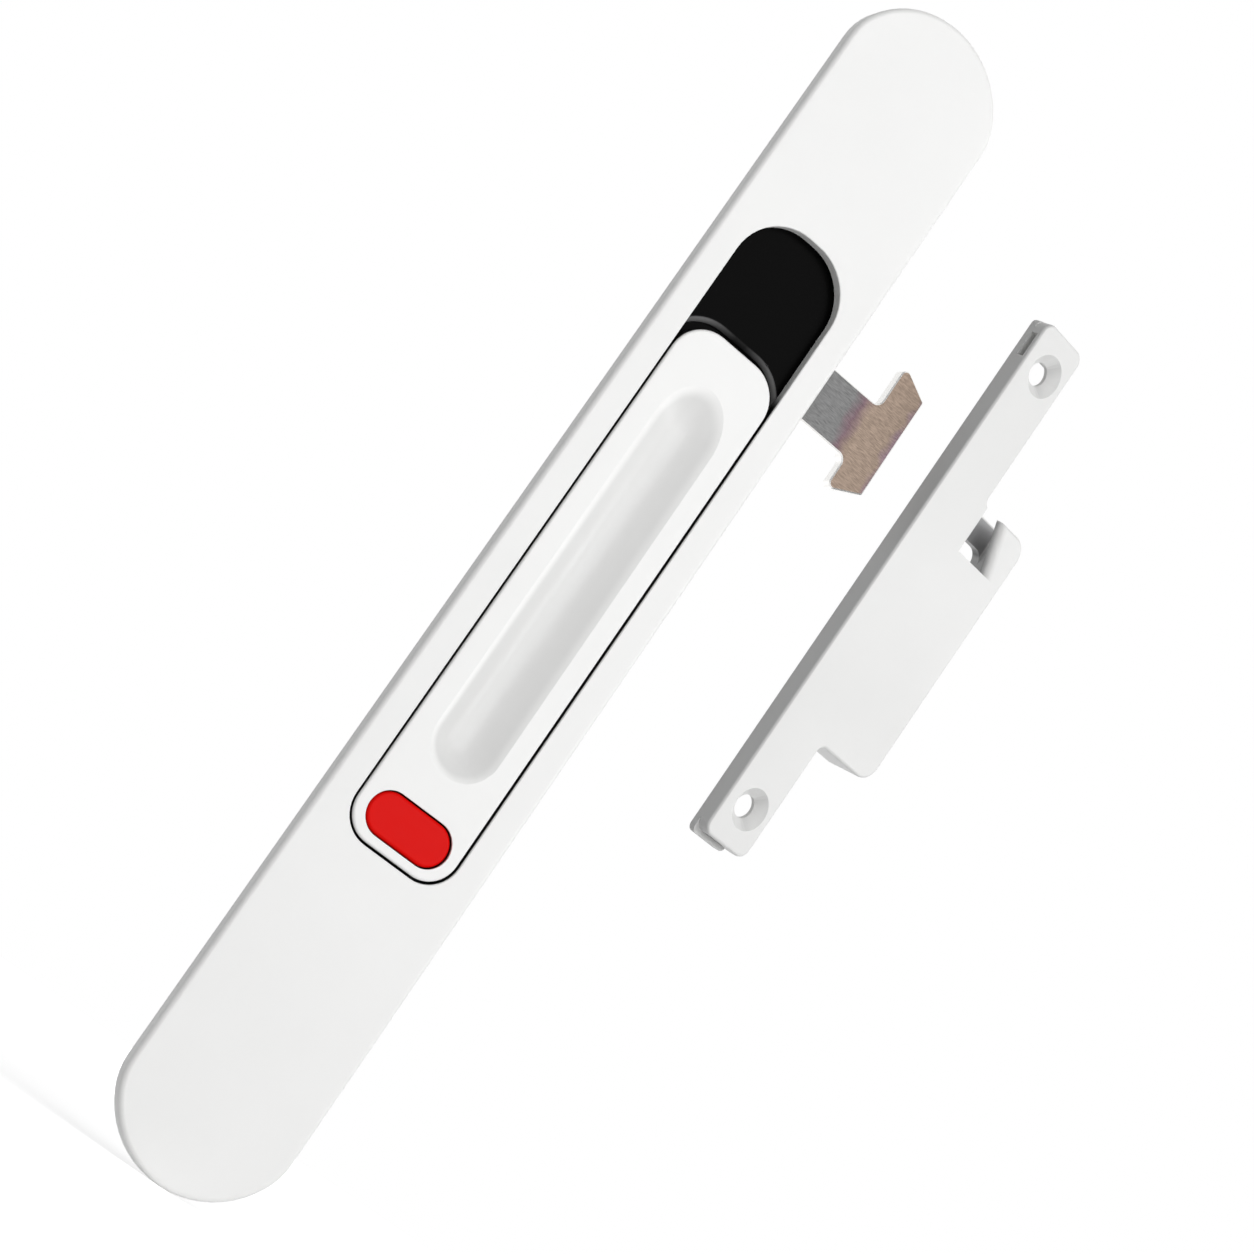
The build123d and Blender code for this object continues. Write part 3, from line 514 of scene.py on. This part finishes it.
# %% [markdown]
# ## The hook's brush marks and painted edge highlights
# The sheet was brushed aslant before the hook was blanked from it. Real brush marks are a few hundredths
# of a millimetre wide. They are drawn at 0.13 mm, so that they show, and they darken and lighten the tint
# below them. The blanked sides and the bevel were never brushed, and they carry a painted highlight in
# near white. They could be picked face by face, but they are all that faces away from the front, so a
# mask made from the normal finds them.

# %% Brush marks and edges
brush_mark = 0.13 * mm
brush_stretch = 9
brush_turn = radians(-62)
brush_depth = 0.02 * mm
shade_low = 0.34
shade_high = 0.66
mark_darkens = 0.76
ridge_lightens = 1.16
mark_roughness = 0.46
ridge_roughness = 0.3
# How squarely a surface faces the front or the back: the brushed face until 0.98, a bare edge from 0.9
face_until = 0.98
edge_from = 0.9

brushing = scratches(tree, metres, brush_mark, brush_stretch, brush_turn)
brush_shade = add_node(tree, "ShaderNodeMapRange",
                       values={"From Min": shade_low, "From Max": shade_high,
                               "To Min": mark_darkens, "To Max": ridge_lightens},
                       links={"Value": brushing})
shaded = add_node(tree, "ShaderNodeVectorMath", settings={"operation": "SCALE"},
                  links={0: hook_tint.outputs["Color"], "Scale": brush_shade.outputs["Result"]})
faces = add_node(tree, "ShaderNodeNewGeometry")
facing = add_node(tree, "ShaderNodeSeparateXYZ", links={"Vector": faces.outputs["True Normal"]})
frontal = add_node(tree, "ShaderNodeMath", settings={"operation": "ABSOLUTE"},
                   links={0: facing.outputs["Y"]})
painted_edge_highlight = add_node(tree, "ShaderNodeMapRange", values={"From Min": face_until, "From Max": edge_from},
                 links={"Value": frontal.outputs["Value"]})
# Painted highlight: the blanked sides and the bevel turn near white
hook_colour = add_node(tree, "ShaderNodeMix", settings={"data_type": "RGBA"},
                       values={"B": linear("#F4F3F1")},
                       links={"Factor": painted_edge_highlight.outputs["Result"], "A": shaded.outputs["Vector"]})
hook_gloss = add_node(tree, "ShaderNodeMapRange",
                      values={"From Min": scratch_low, "From Max": scratch_high,
                              "To Min": mark_roughness, "To Max": ridge_roughness},
                      links={"Value": brushing})
hook_bump = add_node(tree, "ShaderNodeBump", values={"Strength": 0.6, "Distance": brush_depth},
                     links={"Height": brushing})
surface.inputs["Metallic"].default_value = 1.0
tree.links.new(hook_colour.outputs["Result"], surface.inputs["Base Color"])
tree.links.new(hook_gloss.outputs["Result"], surface.inputs["Roughness"])
tree.links.new(hook_bump.outputs["Normal"], surface.inputs["Normal"])
give(hook_steel, "hook")

# %% [markdown]
# ## Raw casting, plating, springs and brass
# Nobody sees these pieces once the lock is in the sash, but the back of the part shows them. The chassis
# is raw zinc die casting, dull grey with flow marks. The cover and the screws are zinc plated, which
# leaves a bluish bright skin. The carriage is coloured near black as painted shade, so that nothing bright
# shows in the gap round the slider. The springs are bright strip and wire, and the bushings are turned
# brass. They are all metals that differ in colour, in gloss and in how far their marks are stretched, so
# the brushed metal's function makes them, with its own values for each.

# %% Other metals
along_lock = pi / 2
across_lock = 0.0

raw_casting = brushed_metal("raw_zinc_casting", "#A4A6A9", "#95979A", spacing=2.4 * mm,
                            height=0.03 * mm, turn=across_lock, stretch=1.4, roughness=0.5)
zinc_plating = brushed_metal("zinc_plated_steel", "#C8CCD2", "#AAAFB8", spacing=0.5 * mm,
                             height=0.01 * mm, turn=along_lock, stretch=12, roughness=0.33)
# Painted shade: the carriage is near black so that the gap round the slider shows dark
gap_shade_plating = brushed_metal("near_black_steel_painted_shade", "#2B2C2E", "#1B1C1E", spacing=0.5 * mm,
                              height=0.01 * mm, turn=along_lock, stretch=12, roughness=0.45)
screw_plating = brushed_metal("zinc_plated_screws", "#CDD0D4", "#AEB2B8", spacing=0.3 * mm,
                              height=0.006 * mm, turn=across_lock, stretch=1.5, roughness=0.28)
spring_steel = brushed_metal("bright_spring_steel", "#B9BCC0", "#95989C", spacing=0.3 * mm,
                             height=0.006 * mm, turn=along_lock, stretch=18, roughness=0.25)
brass = brushed_metal("turned_brass", "#D9B867", "#B8934A", spacing=0.2 * mm,
                      height=0.008 * mm, turn=across_lock, stretch=1.2, roughness=0.27)
give(raw_casting, "chassis")
give(zinc_plating, "back_cover")
give(gap_shade_plating, "carriage")
give(screw_plating, "plate_screws", "cover_screws", "slider_screws", "hook_screws", "hook_washers",
     "catch_rivet")
give(spring_steel, "catch_spring", "drag_spring", "button_spring", "button_clip")
give(brass, "mount_bushings")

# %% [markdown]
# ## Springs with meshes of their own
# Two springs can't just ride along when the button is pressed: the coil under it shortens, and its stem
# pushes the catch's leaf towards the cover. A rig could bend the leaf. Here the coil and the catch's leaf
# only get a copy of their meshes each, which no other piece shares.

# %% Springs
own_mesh(nodes["button_spring"])
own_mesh(nodes["catch_spring"])

# %% [markdown]
# ## Camera
# The photograph was taken from a little below the lock's middle and from its left, with the camera
# rolled so that the lock runs from corner to corner. A camera could be placed by its own three angles,
# but those are hard to picture. This one looks at a point on the face plate from a direction given by two
# angles, and then rolls about its own line of sight.

# %% Camera
aim = Vector((9.3, -2.4, -1.0)) * mm
camera_distance = 409.7 * mm
camera_from_left = radians(20.5)
camera_height_angle = radians(-11.72)
camera_roll = radians(34.45)

to_camera = Vector((-sin(camera_from_left) * cos(camera_height_angle),
                    -cos(camera_from_left) * cos(camera_height_angle),
                    sin(camera_height_angle)))
camera_data = bpy.data.cameras.new("camera")
camera_data.lens = 85
camera_data.sensor_width = 36
camera = bpy.data.objects.new("camera", camera_data)
camera.location = aim + camera_distance * to_camera
camera.rotation_mode = "QUATERNION"
camera.rotation_quaternion = to_camera.to_track_quat("Z", "Y") @ Quaternion((0, 0, 1), camera_roll)
bpy.context.scene.collection.objects.link(camera)
bpy.context.scene.camera = camera
bpy.context.scene.view_settings.view_transform = "Standard"
print("camera at", [round(c, 3) for c in camera.location])

# %% [markdown]
# ## A backdrop that is white only where it is seen
# A white backdrop made with more light would wash out the lock. Instead the floor and the world glow only
# for the rays that show them: the camera's, and those that reach them by a reflection or through glass.
# The rays that light the lock don't see the glow. A light path node tells these rays apart.

# %% Rays that show the backdrop
def backdrop_is_seen(tree):
    """1 for a ray that shows the backdrop itself, 0 for a ray that only carries its light."""
    light_path = add_node(tree, "ShaderNodeLightPath")
    seen = light_path.outputs["Is Camera Ray"]
    for ray in ("Is Glossy Ray", "Is Transmission Ray"):
        seen = add_node(tree, "ShaderNodeMath", settings={"operation": "MAXIMUM"},
                        links={0: seen, 1: light_path.outputs[ray]}).outputs["Value"]
    return seen


# %% [markdown]
# ## Floor
# The lock stands on the lower tip of its plate on a plain white table. Near the lock the floor glows a
# little, so that it reads as white paper does in a studio while the lock's shadow still darkens it.
# Further off the glow grows to full white, as a lit backdrop does, and the floor has no visible end. A
# curved backdrop would do the same, but it would get in the way of the views from behind.

# %% Floor
floor_reach = 3.0
floor_height = cad_box[0][2]
near_glow = 0.58
glow_grows_from = 120 * mm
glow_full_at = 400 * mm

corners = [(x * floor_reach, y * floor_reach, floor_height)
           for x, y in ((-1, -1), (1, -1), (1, 1), (-1, 1))]
floor_mesh = bpy.data.meshes.new("floor")
floor_mesh.from_pydata(corners, [], [(0, 1, 2, 3)])
floor = bpy.data.objects.new("floor", floor_mesh)
bpy.context.scene.collection.objects.link(floor)

paper, tree, surface, metres = start_finish("white_paper")
from_lock = add_node(tree, "ShaderNodeVectorMath", settings={"operation": "LENGTH"}, links={0: metres})
glow = add_node(tree, "ShaderNodeMapRange", settings={"interpolation_type": "SMOOTHSTEP"},
                values={"From Min": glow_grows_from, "From Max": glow_full_at, "To Min": near_glow},
                links={"Value": from_lock.outputs["Value"]})
glow_where_seen = add_node(tree, "ShaderNodeMath", settings={"operation": "MULTIPLY"},
                           links={0: glow.outputs["Result"], 1: backdrop_is_seen(tree)})
surface.inputs["Base Color"].default_value = linear("#F2F2F2")
surface.inputs["Roughness"].default_value = 0.9
surface.inputs["Emission Color"].default_value = linear("#FFFFFF")
tree.links.new(glow_where_seen.outputs["Value"], surface.inputs["Emission Strength"])
floor_mesh.materials.append(paper)
print("floor at z =", round(floor_height / mm, 1), "mm")

# %% [markdown]
# ## World and lamps
# The photograph has a pure white background and soft light from the front, a little to the right: faces
# that look left fall to mid grey, so most of the light can't come from all round. The world is white
# where it is seen, and lends a low even light to everything else. One large soft lamp in front does the
# rest. A small one far to the right lifts what leans that way: the left wall of the scoop, and the face
# of the turned keeper.

# %% World and lamps
even_level = 0.28

world = bpy.data.worlds.new("studio")
bpy.context.scene.world = world
world.use_nodes = True
tree = world.node_tree
tree.nodes.clear()
strength = add_node(tree, "ShaderNodeMapRange", values={"To Min": even_level},
                    links={"Value": backdrop_is_seen(tree)})
background = add_node(tree, "ShaderNodeBackground", values={"Color": linear("#FFFFFF")},
                      links={"Strength": strength.outputs["Result"]})
add_node(tree, "ShaderNodeOutputWorld", links={"Surface": background.outputs["Background"]})


def add_lamp(name, direction, distance, size, watts):
    """A square soft lamp that looks back at the camera's aim."""
    lamp_data = bpy.data.lights.new(name, "AREA")
    lamp_data.size = size
    lamp_data.energy = watts
    lamp = bpy.data.objects.new(name, lamp_data)
    direction = Vector(direction).normalized()
    lamp.location = aim + direction * distance
    lamp.rotation_mode = "QUATERNION"
    lamp.rotation_quaternion = direction.to_track_quat("Z", "Y")
    bpy.context.scene.collection.objects.link(lamp)
    print(name, "at", [round(c, 2) for c in lamp.location])


add_lamp("key_lamp", direction=(0.34, -1.0, 0.14), distance=1.1, size=1.3, watts=11.7)
add_lamp("side_lamp", direction=(0.95, -0.4, 0.16), distance=1.0, size=0.2, watts=1.0)
